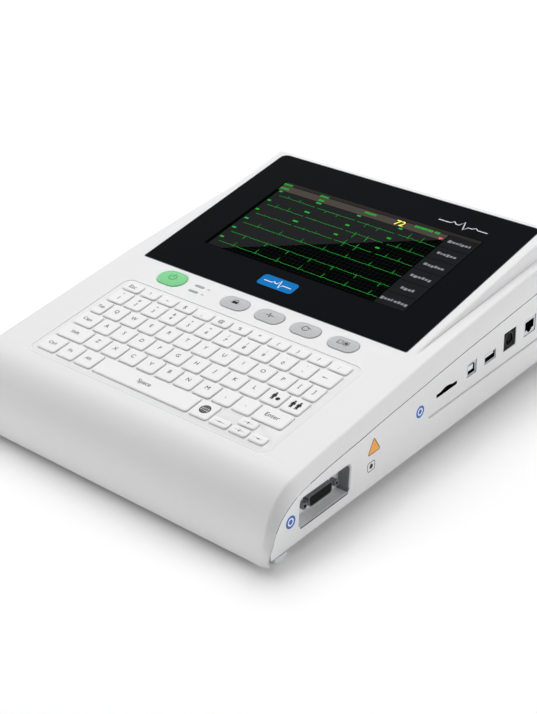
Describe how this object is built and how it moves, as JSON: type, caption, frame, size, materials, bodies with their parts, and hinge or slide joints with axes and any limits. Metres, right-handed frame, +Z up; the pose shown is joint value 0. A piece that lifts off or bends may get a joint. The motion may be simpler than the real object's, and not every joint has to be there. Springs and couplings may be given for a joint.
{
  "type": "ecg machine",
  "caption": "Desktop electrocardiograph with keyboard, raised display block, side ports, patient-cable socket and a rear thermal printer.",
  "frame": {"origin": "centre of the footprint, on the table plane under the feet", "axes": "+X to the right of someone at the keyboard, +Y from the front edge to the rear face, +Z up"},
  "size_m": [0.3024, 0.3635, 0.1],
  "materials": {
    "white_case": "fine satin",
    "white_cover": "soft gloss",
    "panel_white": "satin",
    "glass_black": "polished black",
    "lcd_steel": "brushed",
    "pcb": "solder mask",
    "dark_plastic": "matt",
    "battery_film": "film wrapped",
    "black_plastic": "satin",
    "paper_white": "thermal paper",
    "aluminium": "extruded",
    "rubber_black": "ground",
    "brass": "satin",
    "zinc": "zinc plated",
    "steel": "nickel plated",
    "grey_plastic": "satin",
    "rubber_grey": "matt",
    "green_plastic": "satin",
    "light_pipe": "translucent look",
    "key_white": "fine satin"
  },
  "bodies": {
    "chassis": {"lower_case": "white_case", "top_cover": "white_cover", "keyboard_panel": "panel_white", "display_glass": "glass_black", "lcd_module": "lcd_steel", "main_board": "pcb", "keyboard_board": "pcb", "ecg_board": "pcb", "power_supply": "dark_plastic", "battery_pack": "battery_film", "battery_door": "white_case", "speaker": "black_plastic", "printer_chassis": "dark_plastic", "paper_pack": "paper_white", "print_head": "aluminium", "stepper_motor": "zinc", "hinge_rod": "steel", "ecg_connector_shell": "steel", "ecg_connector_insert": "black_plastic", "jackscrew_front": "steel", "jackscrew_rear": "steel", "sd_card_slot": "steel", "usb_b_port": "steel", "usb_a_port": "steel", "round_data_port": "black_plastic", "ethernet_port": "steel", "mains_inlet": "black_plastic", "mains_switch_body": "black_plastic", "equipotential_stud": "brass", "foot_front_left": "rubber_grey", "foot_front_right": "rubber_grey", "foot_rear_left": "rubber_grey", "foot_rear_right": "rubber_grey", "case_screw_1": "zinc", "case_screw_2": "zinc", "case_screw_3": "zinc", "case_screw_4": "zinc", "led_mains": "light_pipe", "led_battery": "light_pipe"},
    "power_button": {"power_button": "green_plastic"},
    "function_button_1": {"function_button_1": "grey_plastic"},
    "function_button_2": {"function_button_2": "grey_plastic"},
    "function_button_3": {"function_button_3": "grey_plastic"},
    "function_button_4": {"function_button_4": "grey_plastic"},
    "key_row_1": {"key_row_1": "key_white"},
    "key_row_2": {"key_row_2": "key_white"},
    "key_row_3": {"key_row_3": "key_white"},
    "key_row_4": {"key_row_4": "key_white"},
    "key_row_5": {"key_row_5": "key_white"},
    "key_row_6": {"key_row_6": "key_white"},
    "space_bar": {"space_bar": "key_white"},
    "globe_key": {"globe_key": "key_white"},
    "arrow_keys_lower": {"arrow_keys_lower": "key_white"},
    "arrow_key_up": {"arrow_key_up": "key_white"},
    "mains_switch_rocker": {"mains_switch_rocker": "black_plastic"},
    "printer_door": {"printer_door": "white_case"},
    "door_latch": {"door_latch": "grey_plastic"},
    "platen_roller": {"platen_roller": "rubber_black"},
    "motor_pinion": {"motor_pinion": "brass"}
  },
  "joints": [
    {"name": "power_button_press", "type": "slide", "parent": "chassis", "child": "power_button", "axis": [0, 0.127, -0.9919], "range_m": [0, 0.0011], "stiffness_N_per_m": 900},
    {"name": "function_button_1_press", "type": "slide", "parent": "chassis", "child": "function_button_1", "axis": [0, 0.127, -0.9919], "range_m": [0, 0.0011], "stiffness_N_per_m": 900},
    {"name": "function_button_2_press", "type": "slide", "parent": "chassis", "child": "function_button_2", "axis": [0, 0.127, -0.9919], "range_m": [0, 0.0011], "stiffness_N_per_m": 900},
    {"name": "function_button_3_press", "type": "slide", "parent": "chassis", "child": "function_button_3", "axis": [0, 0.127, -0.9919], "range_m": [0, 0.0011], "stiffness_N_per_m": 900},
    {"name": "function_button_4_press", "type": "slide", "parent": "chassis", "child": "function_button_4", "axis": [0, 0.127, -0.9919], "range_m": [0, 0.0011], "stiffness_N_per_m": 900},
    {"name": "key_row_1_press", "type": "slide", "parent": "chassis", "child": "key_row_1", "axis": [0, 0.127, -0.9919], "range_m": [0, 0.0015], "stiffness_N_per_m": 400},
    {"name": "key_row_2_press", "type": "slide", "parent": "chassis", "child": "key_row_2", "axis": [0, 0.127, -0.9919], "range_m": [0, 0.0015], "stiffness_N_per_m": 400},
    {"name": "key_row_3_press", "type": "slide", "parent": "chassis", "child": "key_row_3", "axis": [0, 0.127, -0.9919], "range_m": [0, 0.0015], "stiffness_N_per_m": 400},
    {"name": "key_row_4_press", "type": "slide", "parent": "chassis", "child": "key_row_4", "axis": [0, 0.127, -0.9919], "range_m": [0, 0.0015], "stiffness_N_per_m": 400},
    {"name": "key_row_5_press", "type": "slide", "parent": "chassis", "child": "key_row_5", "axis": [0, 0.127, -0.9919], "range_m": [0, 0.0015], "stiffness_N_per_m": 400},
    {"name": "key_row_6_press", "type": "slide", "parent": "chassis", "child": "key_row_6", "axis": [0, 0.127, -0.9919], "range_m": [0, 0.0015], "stiffness_N_per_m": 400},
    {"name": "space_bar_press", "type": "slide", "parent": "chassis", "child": "space_bar", "axis": [0, 0.127, -0.9919], "range_m": [0, 0.0015], "stiffness_N_per_m": 400},
    {"name": "globe_key_press", "type": "slide", "parent": "chassis", "child": "globe_key", "axis": [0, 0.127, -0.9919], "range_m": [0, 0.0015], "stiffness_N_per_m": 400},
    {"name": "arrow_keys_lower_press", "type": "slide", "parent": "chassis", "child": "arrow_keys_lower", "axis": [0, 0.127, -0.9919], "range_m": [0, 0.0015], "stiffness_N_per_m": 400},
    {"name": "arrow_key_up_press", "type": "slide", "parent": "chassis", "child": "arrow_key_up", "axis": [0, 0.127, -0.9919], "range_m": [0, 0.0015], "stiffness_N_per_m": 400},
    {"name": "mains_switch_rock", "type": "hinge", "parent": "chassis", "child": "mains_switch_rocker", "pos_m": [-0.1434, 0.08375, 0.0313], "axis": [0, 0, 1], "range_deg": [-16, 0]},
    {"name": "printer_door_hinge", "type": "hinge", "parent": "chassis", "child": "printer_door", "pos_m": [0, 0.17945, 0.0408], "axis": [-1, 0, 0], "range_deg": [0, 90]},
    {"name": "door_latch_slide", "type": "slide", "parent": "printer_door", "child": "door_latch", "axis": [0, 0, -1], "range_m": [0, 0.0024]},
    {"name": "platen_spin", "type": "hinge", "parent": "chassis", "child": "platen_roller", "pos_m": [0, 0.16925, 0.07], "axis": [1, 0, 0], "continuous": true},
    {"name": "pinion_spin", "type": "hinge", "parent": "chassis", "child": "motor_pinion", "pos_m": [0, 0.15816, 0.0636], "axis": [1, 0, 0], "continuous": true}
  ],
  "couplings": [
    {"joint": "pinion_spin", "follows": "platen_spin", "ratio": -1.6667}
  ]
}
